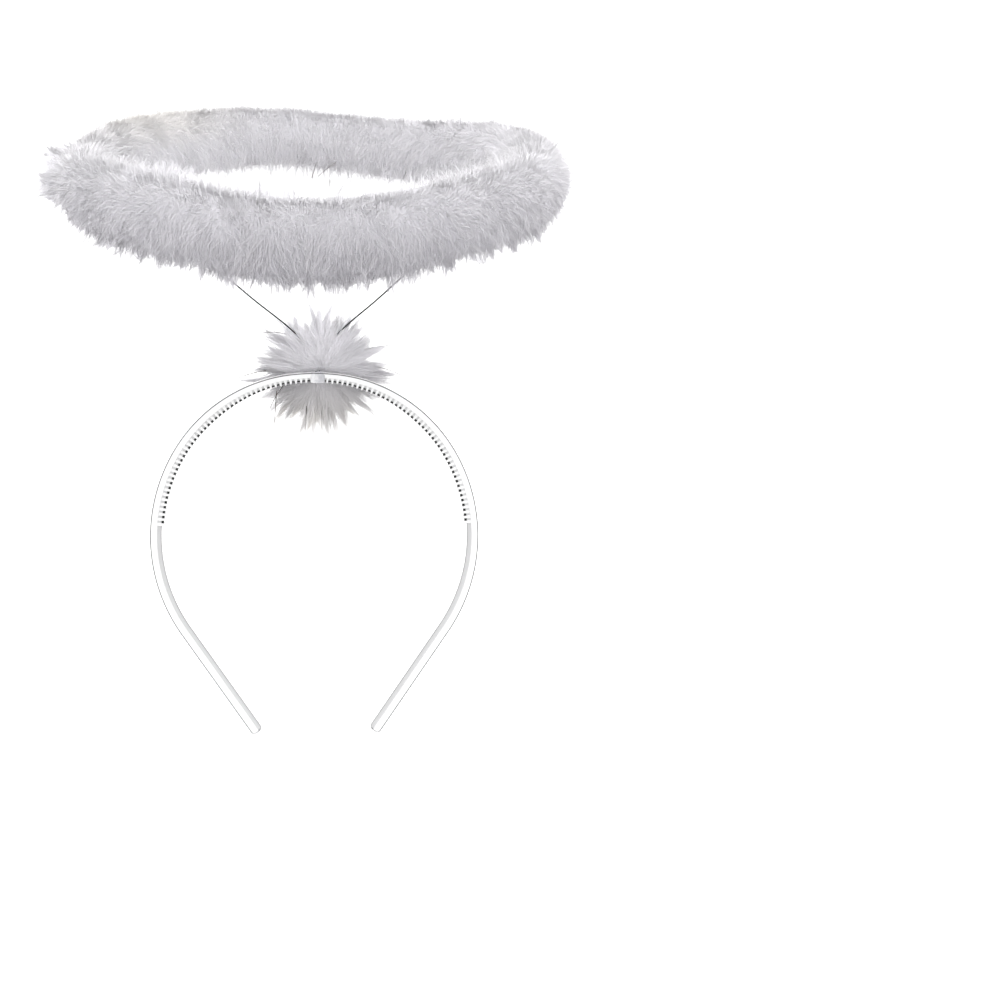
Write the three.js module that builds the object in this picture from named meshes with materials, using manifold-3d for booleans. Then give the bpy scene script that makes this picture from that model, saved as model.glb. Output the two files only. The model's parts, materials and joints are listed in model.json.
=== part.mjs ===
// Halo headband: a moulded band with comb teeth, two wires that rise from its top in a V,
// a wire hoop with a ring of feather fluff round it, and a small tuft that hides the wires' foot.
// Millimetres, +Z up. It lies on its back, on the band's two tips and the back of the ring.
// The pieces are shaped standing upright first: +X right, +Y to the back of the head, +Z up,
// with the origin at the middle of the band's widest level, and are then laid down together.
import * as THREE from 'three';
import { mergeVertices } from 'three/addons/utils/BufferGeometryUtils.js';
import Module from 'manifold-3d';

const wasm = await Module();
wasm.setup();

// Band: its outer edge is three arcs and a straight leg on each side, measured from the top
const crown_radius = 82;
const crown_end_angle = 6;
const shoulder_radius = 62.6;
const shoulder_end_angle = 60;
const side_radius = 69;
const leg_angle = 124.2;
const leg_length = 51;
const band_height_above_middle = 65.4;
const band_depth = 7.5;
const crown_plate_thickness = 1.9;
const side_plate_thickness = 2.6;
const plate_edge_round = 0.5;
const ridge_depth = 4.2;
const crown_ridge_height = 1.1;
const side_ridge_height = 1.8;
const ridge_draft = 0.35;
const thickening_end_angle = 45;
const tip_rounding = 2.2;

// Comb teeth: wedges across the inner side of the band, over the top of the head
const comb_end_angle = 85;
const tooth_pitch = 2.15;
const tooth_root_width = 1.5;
const tooth_tip_width = 0.6;
const tooth_depth = 6;
const tooth_tip_depth = 5.2;
const crown_tooth_overhang = 0.9;
const side_tooth_overhang = 1.2;
const tooth_sink = 0.5;

// Fit between pieces that touch
const touch_gap = 0.3;

// Glue and tape collar round the top of the band and the foot of the wires
const wrap_width = 5.6;
const wrap_wall = 0.5;
const wrap_offset = 1.4;
const wrap_corner = 0.5;

// Wires
const wire_diameter = 0.7;
const foot_spacing = 1.5;
const foot_length = 5;
const stem_back_bow = 3.5;

// Hoop and its ring of fluff
const hoop_radius = 88;
const hoop_height_above_crown = 75.9;
const hoop_forward_tilt = 15.3;
const hoop_offset = -1;
const hoop_side_rise = 3;
const hoop_dip = 4.5;
const hoop_dip_angle = 62;
const hoop_dip_sharpness = 8;
const fluff_core_radius = 11;
const fluff_reach = 15.6;
const fluff_reach_spread = 1.6;
const fluff_lock_spacing = 6.6;
const fluff_lock_lean = 2.8;
const fluff_lock_stray = 0.35;
const fluff_windings = 3;
const wisp_reach = 17.6;
const wisp_reach_spread = 0.9;
const wisp_width = 7;
const wisp_lean = 4;
const wisp_count = 20;
const wisp_crowding = 0.75;

// Tuft behind the top of the band
const tuft_core_radius = 9;
const tuft_back_offset = 10;
const tuft_side_offset = 1.5;
const tuft_reach = 24;
const tuft_reach_spread = 4;
const tuft_front_share = 0.35;
const tuft_lock_width = 7.5;
const tuft_lock_count = 40;
const tuft_lock_bend = 0.18;

// How finely round shapes are faceted
const arc_step_angle = 9;
const tip_rounding_steps = 4;
const clearance_step = 8;
const wire_sides = 6;
const wire_steps = 24;
const hoop_steps = 36;
const fluff_sides = 16;
const core_sides = 10;
const lock_sides = 4;

const golden_angle = Math.PI * (3 - Math.sqrt(5));
const radians = THREE.MathUtils.degToRad;

const plastic = { color: 0xf4f4f2, roughness: 0.35, metalness: 0 };
const glue = { color: 0xeceae6, roughness: 0.3, metalness: 0 };
const steel = { color: 0x4c4c50, roughness: 0.4, metalness: 0.8 };
const feather = { color: 0xd2cfd6, roughness: 0.95, metalness: 0 };

// A closed surface through rings of points, closed at each end by a fan to a centre point
function loft(rings, startCentre, endCentre) {
  const sides = rings[0].length;
  const points = rings.flat().concat([startCentre, endCentre]);
  const start = points.length - 2;
  const end = points.length - 1;
  const last = (rings.length - 1) * sides;
  const faces = [];
  for (let side = 0; side < sides; side += 1) {
    const next = (side + 1) % sides;
    faces.push(start, next, side, end, last + side, last + next);
    for (let ring = 0; ring < last; ring += sides) {
      faces.push(ring + side, ring + next, ring + sides + next);
      faces.push(ring + side, ring + sides + next, ring + sides + side);
    }
  }
  return closedSolid(points, faces);
}

function mean(points) {
  const sum = new THREE.Vector3();
  points.forEach((point) => sum.add(point));
  return sum.divideScalar(points.length);
}

// The volume inside a triangle mesh, negative when its faces point inward
function signedVolume(points, faces) {
  let volume = 0;
  for (let i = 0; i < faces.length; i += 3) {
    const [a, b, c] = [points[faces[i]], points[faces[i + 1]], points[faces[i + 2]]];
    volume += a.dot(new THREE.Vector3().crossVectors(b, c)) / 6;
  }
  return volume;
}

function closedSolid(points, faces) {
  const ordered = signedVolume(points, faces) < 0 ? faces.slice().reverse() : faces;
  return new wasm.Manifold(new wasm.Mesh({
    numProp: 3,
    vertProperties: new Float32Array(points.flatMap((point) => point.toArray())),
    triVerts: new Uint32Array(ordered),
  }));
}

// A solid from one of the ready-made closed geometries, moved by a matrix
function solidFrom(geometry, matrix) {
  const bare = geometry.clone().applyMatrix4(matrix);
  bare.deleteAttribute('normal');
  bare.deleteAttribute('uv');
  const merged = mergeVertices(bare, 1e-4);
  const position = merged.getAttribute('position');
  const points = [];
  for (let i = 0; i < position.count; i += 1) {
    points.push(new THREE.Vector3().fromBufferAttribute(position, i));
  }
  return closedSolid(points, Array.from(merged.index.array));
}

function joined(solids) {
  return solids.reduce((whole, solid) => whole.add(solid));
}

// The largest of the bodies that a cut has left
function largestBody(solid) {
  const bodies = solid.decompose();
  return bodies.reduce((best, body) => (body.volume() > best.volume() ? body : best));
}

function namedMesh(name, solid, look) {
  const made = solid.getMesh();
  const geometry = new THREE.BufferGeometry();
  geometry.setAttribute('position', new THREE.BufferAttribute(made.vertProperties, 3));
  geometry.setIndex(new THREE.BufferAttribute(made.triVerts, 1));
  geometry.computeVertexNormals();
  const mesh = new THREE.Mesh(geometry, new THREE.MeshStandardMaterial(look));
  mesh.name = name;
  return mesh;
}

// The arcs of the outer edge: each has its radius and the angle from the top where it ends
function bandArcs() {
  return [
    { radius: crown_radius, end: crown_end_angle },
    { radius: shoulder_radius, end: shoulder_end_angle },
    { radius: side_radius, end: leg_angle },
  ];
}

// The point of the outer edge at a distance from the top along it, with its angle turned from
// the top. Negative distances are on the left.
function edgeAt(distance) {
  const mirror = distance < 0 ? -1 : 1;
  let left = Math.abs(distance);
  let angle = 0;
  const at = new THREE.Vector2(0, band_height_above_middle);
  for (const arc of bandArcs()) {
    const turn = Math.min(left / arc.radius, radians(arc.end) - angle);
    at.x += arc.radius * (Math.sin(angle + turn) - Math.sin(angle));
    at.y -= arc.radius * (Math.cos(angle) - Math.cos(angle + turn));
    angle += turn;
    left -= turn * arc.radius;
  }
  at.x += left * Math.cos(angle);
  at.y -= left * Math.sin(angle);
  return { x: mirror * at.x, z: at.y, angle: mirror * angle };
}

// The distance along the outer edge from the top to where it has turned by an angle in degrees
function edgeDistance(turned) {
  let distance = 0;
  let from = 0;
  for (const arc of bandArcs()) {
    const to = Math.min(arc.end, turned);
    distance += arc.radius * radians(Math.max(to - from, 0));
    from = Math.max(from, to);
  }
  return distance;
}

// A place on the band: so far inward from the outer edge, and so far back from its middle
function bandPoint(edge, inward, back) {
  return new THREE.Vector3(
    edge.x - inward * Math.sin(edge.angle),
    back,
    edge.z - inward * Math.cos(edge.angle),
  );
}

// A thickness that grows from its value at the crown to its value at the side
function thickened(edge, crown, side) {
  const share = Math.min(Math.abs(edge.angle) / radians(thickening_end_angle), 1);
  return crown + (side - crown) * THREE.MathUtils.smoothstep(share, 0, 1);
}

function plateThickness(edge) {
  return thickened(edge, crown_plate_thickness, side_plate_thickness);
}

function ridgeHeight(edge) {
  return thickened(edge, crown_ridge_height, side_ridge_height);
}

function toothOverhang(edge) {
  return thickened(edge, crown_tooth_overhang, side_tooth_overhang);
}

// One section of the band: a strip with rounded outer corners and a ridge on its inner side,
// shrunk about its middle by a share where the tips are rounded
function bandSection(edge, shrink) {
  const plate = plateThickness(edge);
  const total = plate + ridgeHeight(edge);
  const half = band_depth / 2;
  const ridge = ridge_depth / 2;
  const outline = [
    [plate_edge_round, -half],
    [0, plate_edge_round - half],
    [0, half - plate_edge_round],
    [plate_edge_round, half],
    [plate, half],
    [plate, ridge],
    [total, ridge - ridge_draft],
    [total, ridge_draft - ridge],
    [plate, -ridge],
    [plate, -half],
  ];
  const middle = total / 2;
  return outline.map(([inward, back]) => (
    bandPoint(edge, middle + (inward - middle) * shrink, back * shrink)
  ));
}

// Where the band's sections stand, from the left tip to the right one
function bandStations() {
  const tip = edgeDistance(leg_angle) + leg_length;
  const half = [];
  const steps = Math.round(leg_angle / arc_step_angle);
  for (let step = 0; step <= steps; step += 1) {
    half.push({ distance: edgeDistance(leg_angle * step / steps), shrink: 1 });
  }
  for (let step = 0; step < tip_rounding_steps; step += 1) {
    const turn = Math.PI / 2 * step / tip_rounding_steps;
    half.push({
      distance: tip - tip_rounding * (1 - Math.sin(turn)),
      shrink: Math.cos(turn),
    });
  }
  const mirrored = half.slice(1).reverse()
    .map(({ distance, shrink }) => ({ distance: -distance, shrink }));
  return mirrored.concat(half);
}

function bandBar() {
  const tip = edgeDistance(leg_angle) + leg_length;
  const rings = bandStations().map(({ distance, shrink }) => bandSection(edgeAt(distance), shrink));
  const middleOfEnd = (distance) => {
    const edge = edgeAt(distance);
    return bandPoint(edge, (plateThickness(edge) + ridgeHeight(edge)) / 2, 0);
  };
  return loft(rings, middleOfEnd(-tip), middleOfEnd(tip));
}

// One comb tooth: a wedge that starts inside the plate and narrows to a blunt edge past the ridge
function combTooth(distance) {
  const edge = edgeAt(distance);
  const plate = plateThickness(edge);
  const tip = plate + ridgeHeight(edge) + toothOverhang(edge);
  const along = new THREE.Vector3(Math.cos(edge.angle), 0, -Math.sin(edge.angle));
  const corners = [[-1, -1], [1, -1], [1, 1], [-1, 1]];
  const ring = (inward, width, depth) => corners.map(([side, back]) => (
    bandPoint(edge, inward, back * depth / 2).addScaledVector(along, side * width / 2)
  ));
  const root = ring(plate - tooth_sink, tooth_root_width, tooth_depth);
  const end = ring(tip, tooth_tip_width, tooth_tip_depth);
  return loft([root, end], mean(root), mean(end));
}

function headband() {
  const reach = edgeDistance(comb_end_angle);
  const gaps = Math.round(2 * reach / tooth_pitch);
  const teeth = [];
  for (let tooth = 0; tooth <= gaps; tooth += 1) {
    teeth.push(combTooth(reach * (2 * tooth / gaps - 1)));
  }
  return joined([bandBar(), ...teeth]);
}

// The faces that the collar closes round, as distances back from the band's middle and heights
function wrapHollow() {
  const top = edgeAt(0);
  const stack = plateThickness(top) + ridgeHeight(top) + toothOverhang(top);
  return {
    front: -band_depth / 2 - touch_gap,
    back: band_depth / 2 + touch_gap + wire_diameter + touch_gap,
    bottom: band_height_above_middle - stack - touch_gap,
    top: band_height_above_middle + touch_gap,
  };
}

// A rectangle with cut corners, standing across the band: its first coordinate runs to the back
function cutCornerOutline(hollow, wall, corner) {
  const front = hollow.front - wall;
  const back = hollow.back + wall;
  const bottom = hollow.bottom - wall;
  const top = hollow.top + wall;
  return [
    [front + corner, bottom],
    [back - corner, bottom],
    [back, bottom + corner],
    [back, top - corner],
    [back - corner, top],
    [front + corner, top],
    [front, top - corner],
    [front, bottom + corner],
  ].map(([back_, up]) => new THREE.Vector2(back_, up));
}

// A flat outline that runs back and up, carried along X for a width about the collar's place
function acrossBand(outline, width) {
  const geometry = new THREE.ExtrudeGeometry(outline, { depth: width, bevelEnabled: false });
  const turn = new THREE.Matrix4().makeBasis(
    new THREE.Vector3(0, 1, 0),
    new THREE.Vector3(0, 0, 1),
    new THREE.Vector3(1, 0, 0),
  );
  turn.setPosition(wrap_offset - width / 2, 0, 0);
  return solidFrom(geometry, turn);
}

function glueWrap() {
  const hollow = wrapHollow();
  const outer = new THREE.Shape(cutCornerOutline(hollow, wrap_wall, wrap_corner));
  const inner = new THREE.Shape(cutCornerOutline(hollow, 0, 0));
  const sleeve = acrossBand(outer, wrap_width);
  const open = sleeve.subtract(acrossBand(inner, wrap_width + 2 * wrap_wall));
  return open.subtract(stemClearances());
}

// The room that the tuft leaves round the collar
function wrapClearance() {
  const outline = new THREE.Shape(cutCornerOutline(wrapHollow(), wrap_wall + touch_gap, wrap_corner));
  return acrossBand(outline, wrap_width + 2 * touch_gap);
}

// The room that the tuft leaves round the top of the band
function bandClearance() {
  const reach = Math.ceil((tuft_reach + tuft_reach_spread) * 2 / clearance_step);
  const half = band_depth / 2 + touch_gap;
  const rings = [];
  for (let step = -reach; step <= reach; step += 1) {
    const edge = edgeAt(step * clearance_step);
    const inner = plateThickness(edge) + ridgeHeight(edge) + toothOverhang(edge) + touch_gap;
    rings.push([
      bandPoint(edge, -touch_gap, -half),
      bandPoint(edge, -touch_gap, half),
      bandPoint(edge, inner, half),
      bandPoint(edge, inner, -half),
    ]);
  }
  return loft(rings, mean(rings[0]), mean(rings[rings.length - 1]));
}

// The hoop's own frame: its centre above the crown, with its front edge tilted down
function hoopMatrix() {
  const height = band_height_above_middle + hoop_height_above_crown;
  return new THREE.Matrix4()
    .makeRotationX(radians(hoop_forward_tilt))
    .setPosition(hoop_offset, 0, height);
}

// How far the hand-bent hoop stands off its own plane: its two sides, where the stems hold it, are
// raised, and it dips at one place on the way to the back
function hoopRise(angle) {
  const near = Math.max(Math.cos(angle - radians(hoop_dip_angle)), 0);
  return hoop_side_rise * Math.cos(angle) ** 2 - hoop_dip * near ** hoop_dip_sharpness;
}

// A place round the hoop: angle runs along it, turn round it, and reach is the distance from the
// middle of its wire. A lean shifts the place along the hoop.
function placeRoundHoop(angle, turn, reach, lean) {
  const out = hoop_radius + reach * Math.cos(turn);
  return new THREE.Vector3(
    out * Math.cos(angle) - lean * Math.sin(angle),
    out * Math.sin(angle) + lean * Math.cos(angle),
    reach * Math.sin(turn) + hoopRise(angle),
  ).applyMatrix4(hoopMatrix());
}

// A closed tube round the hoop. Each cell between four neighbouring points has its diagonal from
// the first point, or from the next one round where leaning says so.
function tubeRoundHoop(stations, sides, pointAt, leaning) {
  const points = [];
  const faces = [];
  const index = (station, side) => (station % stations) * sides + (side % sides);
  for (let station = 0; station < stations; station += 1) {
    for (let side = 0; side < sides; side += 1) {
      points.push(pointAt(station, side));
      const [a, b] = [index(station, side), index(station + 1, side)];
      const [c, d] = [index(station + 1, side + 1), index(station, side + 1)];
      faces.push(...(leaning(station, side) ? [a, b, d, b, c, d] : [a, b, c, a, c, d]));
    }
  }
  return closedSolid(points, faces);
}

function hoopTube(tubeRadius) {
  const pointAt = (station, side) => placeRoundHoop(
    2 * Math.PI * station / hoop_steps,
    2 * Math.PI * side / wire_sides,
    tubeRadius,
    0,
  );
  return tubeRoundHoop(hoop_steps, wire_sides, pointAt, () => false);
}

// The middle of the hoop's wire at its left (-1) or right (1) side, where a stem arrives
function hoopSide(side) {
  return placeRoundHoop(side < 0 ? Math.PI : 0, 0, 0, 0);
}

// The stem's hand-bent way from the foot to the hoop, as shares of the way out and of the way up
const stem_bends = [
  { out: 0.01, up: 0.03, back: 0.1 },
  { out: 0.06, up: 0.145, back: 0.6 },
  { out: 0.12, up: 0.217, back: 0.8 },
  { out: 0.27, up: 0.355, back: 1 },
  { out: 0.45, up: 0.53, back: 0.9 },
  { out: 0.74, up: 0.79, back: 0.5 },
];

// The centre line of one stem wire. side is -1 for the left and 1 for the right.
function stemCurve(side) {
  const behind = band_depth / 2 + touch_gap + wire_diameter / 2;
  const collarTop = band_height_above_middle + touch_gap + wrap_wall;
  const foot = new THREE.Vector3(wrap_offset + side * foot_spacing / 2, behind, collarTop);
  const goal = hoopSide(side);
  const points = [1, 0.5, 0].map((share) => foot.clone().setZ(collarTop - share * foot_length));
  for (const bend of stem_bends) {
    points.push(new THREE.Vector3(
      THREE.MathUtils.lerp(foot.x, goal.x, bend.out),
      THREE.MathUtils.lerp(foot.y, goal.y, bend.up) + stem_back_bow * bend.back,
      THREE.MathUtils.lerp(foot.z, goal.z, bend.up),
    ));
  }
  const last = points[points.length - 1];
  const arrival = goal.clone().sub(last).normalize();
  points.push(goal.clone().addScaledVector(arrival, -(wire_diameter + touch_gap)));
  return new THREE.CatmullRomCurve3(points, false, 'centripetal');
}

function tubeAlong(curve, radius) {
  const section = new THREE.Shape();
  section.absarc(0, 0, radius, 0, 2 * Math.PI);
  const geometry = new THREE.ExtrudeGeometry(section, {
    steps: wire_steps,
    curveSegments: wire_sides / 2,
    extrudePath: curve,
  });
  return solidFrom(geometry, new THREE.Matrix4());
}

// Tubes a little wider than the stems, which run on to the middle of the hoop's wire
function stemClearances() {
  return joined([-1, 1].map((side) => {
    const points = stemCurve(side).getSpacedPoints(wire_steps);
    points.push(hoopSide(side));
    return tubeAlong(new THREE.CatmullRomCurve3(points), wire_diameter / 2 + touch_gap);
  }));
}

// A number between -1 and 1 that looks random: the part after the point of a large sine. It
// follows from a lock's place in its row and from which of its features is asked for.
const scatter_scale = 43758.5453;
const scatter_feature_step = 78.233;
const scatter_index_step = 12.9898;
function scatter(index, feature) {
  const angle = index * scatter_index_step + feature * scatter_feature_step;
  const raw = Math.sin(angle) * scatter_scale;
  return 2 * (raw - Math.floor(raw)) - 1;
}

// A lock's width along its length, as shares of its width at the root and of its length
const lock_taper = [
  { along: 0, width: 1 },
  { along: 0.4, width: 0.8 },
  { along: 0.75, width: 0.42 },
];

// One lock of fluff: a round root that narrows along a bent line to a point
function fluffLock(root, way, bend, length, width) {
  const reach = way.clone().multiplyScalar(length);
  const centre = (along) => root.clone().addScaledVector(reach, along)
    .addScaledVector(bend, along * along);
  const across = new THREE.Vector3(way.y, -way.x, 0).normalize();
  const upright = new THREE.Vector3().crossVectors(way, across);
  const rings = lock_taper.map((station) => {
    const ring = [];
    for (let side = 0; side < lock_sides; side += 1) {
      const turn = 2 * Math.PI * side / lock_sides;
      ring.push(centre(station.along)
        .addScaledVector(across, width / 2 * station.width * Math.cos(turn))
        .addScaledVector(upright, width / 2 * station.width * Math.sin(turn)));
    }
    return ring;
  });
  return loft(rings, root, centre(1));
}

// The ring's body: a tube whose surface is drawn out into short locks at every second point, wound
// round the hoop as a boa is. Every face runs from the tip of a lock to the valley round it.
function lockedTube() {
  const around = 2 * Math.round(Math.PI * hoop_radius / fluff_lock_spacing);
  const isTip = (station, side) => (station + side) % 2 === 0;
  const pointAt = (station, side) => {
    const angle = 2 * Math.PI * station / around;
    const seed = station * fluff_sides + side;
    const tip = isTip(station, side);
    const stray = tip ? fluff_lock_stray * scatter(seed, 9) : 0;
    const turn = 2 * Math.PI * (side + stray) / fluff_sides + fluff_windings * angle;
    const reach = tip ? fluff_reach + fluff_reach_spread * scatter(seed, 1) : fluff_core_radius;
    const lean = tip ? fluff_lock_lean * scatter(seed, 2) : 0;
    return placeRoundHoop(angle, turn, reach, lean);
  };
  return tubeRoundHoop(around, fluff_sides, pointAt, isTip);
}

// A wisp's place along the ring, drawn to its left end, where the boa's ends meet
function wispAngle(index) {
  const even = 2 * Math.PI * (index + 0.5) / wisp_count;
  return even + wisp_crowding * Math.sin(even);
}

// Longer wisps that stand out of the ring's locks
function ringWisps() {
  const wisps = [];
  for (let index = 0; index < wisp_count; index += 1) {
    const angle = wispAngle(index);
    const turn = golden_angle * index;
    const reach = wisp_reach + wisp_reach_spread * scatter(index, 3);
    const root = placeRoundHoop(angle, turn, fluff_core_radius / 2, 0);
    const tip = placeRoundHoop(angle, turn, reach, 0);
    const bend = placeRoundHoop(angle, turn, reach, wisp_lean * scatter(index, 4)).sub(tip);
    const way = tip.clone().sub(root).normalize();
    wisps.push(fluffLock(root, way, bend, tip.distanceTo(root), wisp_width));
  }
  return wisps;
}

function haloFluff() {
  const tunnel = hoopTube(wire_diameter / 2 + touch_gap);
  const body = joined([lockedTube(), ...ringWisps()]);
  return largestBody(body.subtract(tunnel).subtract(stemClearances()));
}

// The tuft's locks spread from its centre like the points of a burr, shorter towards the front
function tuftLocks(centre) {
  const locks = [];
  for (let index = 0; index < tuft_lock_count; index += 1) {
    const height = 1 - 2 * (index + 0.5) / tuft_lock_count;
    const round = Math.sqrt(1 - height * height);
    const turn = golden_angle * index;
    const way = new THREE.Vector3(round * Math.cos(turn), round * Math.sin(turn), height);
    way.y *= way.y < 0 ? tuft_front_share : 1;
    const length = tuft_reach + tuft_reach_spread * scatter(index, 5) - tuft_core_radius / 2;
    const bend = new THREE.Vector3(scatter(index, 6), scatter(index, 7), scatter(index, 8))
      .multiplyScalar(tuft_lock_bend * length);
    const root = centre.clone().addScaledVector(way, tuft_core_radius / 2);
    locks.push(fluffLock(root, way, bend, length, tuft_lock_width));
  }
  return locks;
}

function tuft() {
  const centre = new THREE.Vector3(
    wrap_offset + tuft_side_offset,
    tuft_back_offset,
    band_height_above_middle,
  );
  const core = solidFrom(
    new THREE.SphereGeometry(tuft_core_radius, core_sides, core_sides / 2),
    new THREE.Matrix4().setPosition(centre),
  );
  const body = joined([core, ...tuftLocks(centre)]);
  const room = joined([bandClearance(), wrapClearance(), stemClearances()]);
  return largestBody(body.subtract(room));
}

// The angle between the band and the surface it lies on: the surface touches the band's tips
// and the furthest point at the back of the ring. Each round finds the tips' lowest corner again.
const lying_rounds = 4;
function lyingAngle(band, fluff) {
  const corners = (mesh) => {
    const position = mesh.geometry.getAttribute('position');
    const points = [];
    for (let i = 0; i < position.count; i += 1) {
      points.push(new THREE.Vector3().fromBufferAttribute(position, i));
    }
    return points;
  };
  const bandCorners = corners(band);
  const fluffCorners = corners(fluff);
  let angle = 0;
  for (let round = 0; round < lying_rounds; round += 1) {
    const depth = (point) => point.y * Math.cos(angle) - point.z * Math.sin(angle);
    const low = bandCorners.reduce((best, point) => (depth(point) > depth(best) ? point : best));
    angle = Math.max(...fluffCorners.map((point) => Math.atan2(point.y - low.y, point.z - low.z)));
  }
  return angle;
}

// Lays the upright pieces on their back and sets the middle of their footprint at the origin
function laidDown(pieces, angle) {
  const laid = new THREE.Group();
  laid.add(...pieces);
  laid.rotation.x = angle - Math.PI / 2;
  laid.updateMatrixWorld(true);
  const box = new THREE.Box3().setFromObject(laid, true);
  const middle = box.getCenter(new THREE.Vector3());
  laid.position.set(-middle.x, -middle.y, -box.min.z);
  return laid;
}

const band = namedMesh('headband', headband(), plastic);
const fluff = namedMesh('halo_fluff', haloFluff(), feather);
const pieces = [
  band,
  namedMesh('glue_wrap', glueWrap(), glue),
  namedMesh('left_stem_wire', tubeAlong(stemCurve(-1), wire_diameter / 2), steel),
  namedMesh('right_stem_wire', tubeAlong(stemCurve(1), wire_diameter / 2), steel),
  namedMesh('hoop_wire', hoopTube(wire_diameter / 2), steel),
  fluff,
  namedMesh('tuft', tuft(), feather),
];

const halo_headband = new THREE.Group();
halo_headband.add(laidDown(pieces, lyingAngle(band, fluff)));
export default halo_headband;
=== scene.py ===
"""A halo headband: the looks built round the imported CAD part.

Shapes are worked out in millimetres with the headband standing upright: +X right, +Y to the
back of the head, +Z up, from the middle of the band's widest level. place() then lays them
down into the part's own frame, in metres.
"""

import json
import math

import bpy
import numpy as np
from mathutils import Matrix


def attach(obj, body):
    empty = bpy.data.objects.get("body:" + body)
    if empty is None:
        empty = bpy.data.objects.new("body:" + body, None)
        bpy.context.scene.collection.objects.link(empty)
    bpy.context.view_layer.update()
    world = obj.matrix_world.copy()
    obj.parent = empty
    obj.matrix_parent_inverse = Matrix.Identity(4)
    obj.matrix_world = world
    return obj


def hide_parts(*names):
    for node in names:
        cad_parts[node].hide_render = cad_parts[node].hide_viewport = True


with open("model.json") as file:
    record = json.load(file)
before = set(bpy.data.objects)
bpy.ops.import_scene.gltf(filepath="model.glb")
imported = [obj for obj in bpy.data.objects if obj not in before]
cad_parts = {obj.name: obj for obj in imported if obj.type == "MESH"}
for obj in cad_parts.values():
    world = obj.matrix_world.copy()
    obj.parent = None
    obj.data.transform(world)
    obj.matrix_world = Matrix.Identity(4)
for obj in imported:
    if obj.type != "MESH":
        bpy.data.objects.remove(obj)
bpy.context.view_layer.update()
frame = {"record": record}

MM = 0.001
TAU = 2 * math.pi

# Band, as in the CAD part. Each arc of the outer edge has a radius and the angle, in degrees from
# the top, at which it ends.
CROWN_RADIUS, CROWN_END = 82, 6
SHOULDER_RADIUS, SHOULDER_END = 62.6, 60
SIDE_RADIUS, LEG_ANGLE = 69, 124.2
ARCS = (CROWN_RADIUS, CROWN_END), (SHOULDER_RADIUS, SHOULDER_END), (SIDE_RADIUS, LEG_ANGLE)
LEG_LENGTH = 51
BAND_TOP = 65.4
BAND_DEPTH = 7.5
CROWN_PLATE, SIDE_PLATE = 1.9, 2.6
CROWN_RIDGE, SIDE_RIDGE = 1.1, 1.8
CROWN_OVERHANG, SIDE_OVERHANG = 0.9, 1.2
THICKENING_END = 45
RIDGE_DEPTH = 4.2
TIP_ROUNDING = 2.2
HALF, RIDGE_HALF = BAND_DEPTH / 2, RIDGE_DEPTH / 2
COMB_END = 85
TOOTH_PITCH = 2.15

# Wires, collar, ring and tuft, as in the CAD part
TOUCH_GAP = 0.3
WRAP_OFFSET, WRAP_WIDTH, WRAP_WALL = 1.4, 5.6, 0.5
WIRE_DIAMETER = 0.7
FOOT_SPACING, FOOT_LENGTH = 1.5, 5
STEM_BACK_BOW = 3.5
STEM_BENDS = np.array([  # share of the way out, share of the way up, share of the bow back
    (0.01, 0.03, 0.1), (0.06, 0.145, 0.6), (0.12, 0.217, 0.8),
    (0.27, 0.355, 1.0), (0.45, 0.53, 0.9), (0.74, 0.79, 0.5),
])
HOOP_RADIUS = 88
HOOP_CENTRE = np.array((-1.0, 0, BAND_TOP + 75.9))
HOOP_TILT = math.radians(15.3)
HOOP_SIDE_RISE = 3
HOOP_DIP, HOOP_DIP_ANGLE, HOOP_DIP_SHARPNESS = 4.5, math.radians(62), 8
TUFT_CENTRE = np.array((2.9, 10, BAND_TOP))

FRONT_MOUNT_DISTANCE, FRONT_MOUNT_INWARD = -20, 1.3

rng = np.random.default_rng(20)


# From the upright headband to the part's frame

def unit(vectors):
    """Vectors divided by their own lengths."""
    return vectors / np.maximum(np.linalg.norm(vectors, axis=-1, keepdims=True), 1e-9)


def smoothstep(value):
    """0 below 0, 1 above 1, and between them three squares less two cubes."""
    value = np.clip(value, 0, 1)
    return value * value * (3 - 2 * value)


def mix(a, b, share):
    """A straight blend from a to b."""
    return a + (b - a) * share


def edge_at(distance):
    """The band's outer edge at distances from the top along it: three arcs, then a straight leg.
    Gives x, z and the angle turned from the top, mirrored where the distance is negative."""
    distance = np.asarray(distance, float)
    mirror = np.where(distance < 0, -1.0, 1.0)
    left = np.abs(distance)
    angle = np.zeros_like(left)
    x = np.zeros_like(left)
    z = np.full_like(left, BAND_TOP)
    for radius, end in ARCS:
        turn = np.minimum(left / radius, math.radians(end) - angle)
        x += radius * (np.sin(angle + turn) - np.sin(angle))
        z -= radius * (np.cos(angle) - np.cos(angle + turn))
        angle += turn
        left -= turn * radius
    x += left * np.cos(angle)
    z -= left * np.sin(angle)
    return mirror * x, z, mirror * angle


def edge_distance(turned):
    """The distance along the outer edge from the top to where it has turned by some degrees."""
    distance, start = 0, 0
    for radius, end in ARCS:
        stop = min(end, turned)
        distance += radius * math.radians(max(stop - start, 0))
        start = max(start, stop)
    return distance


BAND_END = edge_distance(LEG_ANGLE) + LEG_LENGTH
COMB_REACH = edge_distance(COMB_END)


def band_points(distance, inward, back):
    """Points so far inward from the outer edge and so far back from the band's middle."""
    x, z, angle = edge_at(distance)
    x, z, back = x - inward * np.sin(angle), z - inward * np.cos(angle), back + 0 * x
    return np.stack(np.broadcast_arrays(x, back, z), axis=-1)


def thickened(distance, crown, side):
    """A thickness that grows from the crown to the side of the band."""
    share = np.abs(edge_at(distance)[2]) / math.radians(THICKENING_END)
    return mix(crown, side, smoothstep(share))


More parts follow.
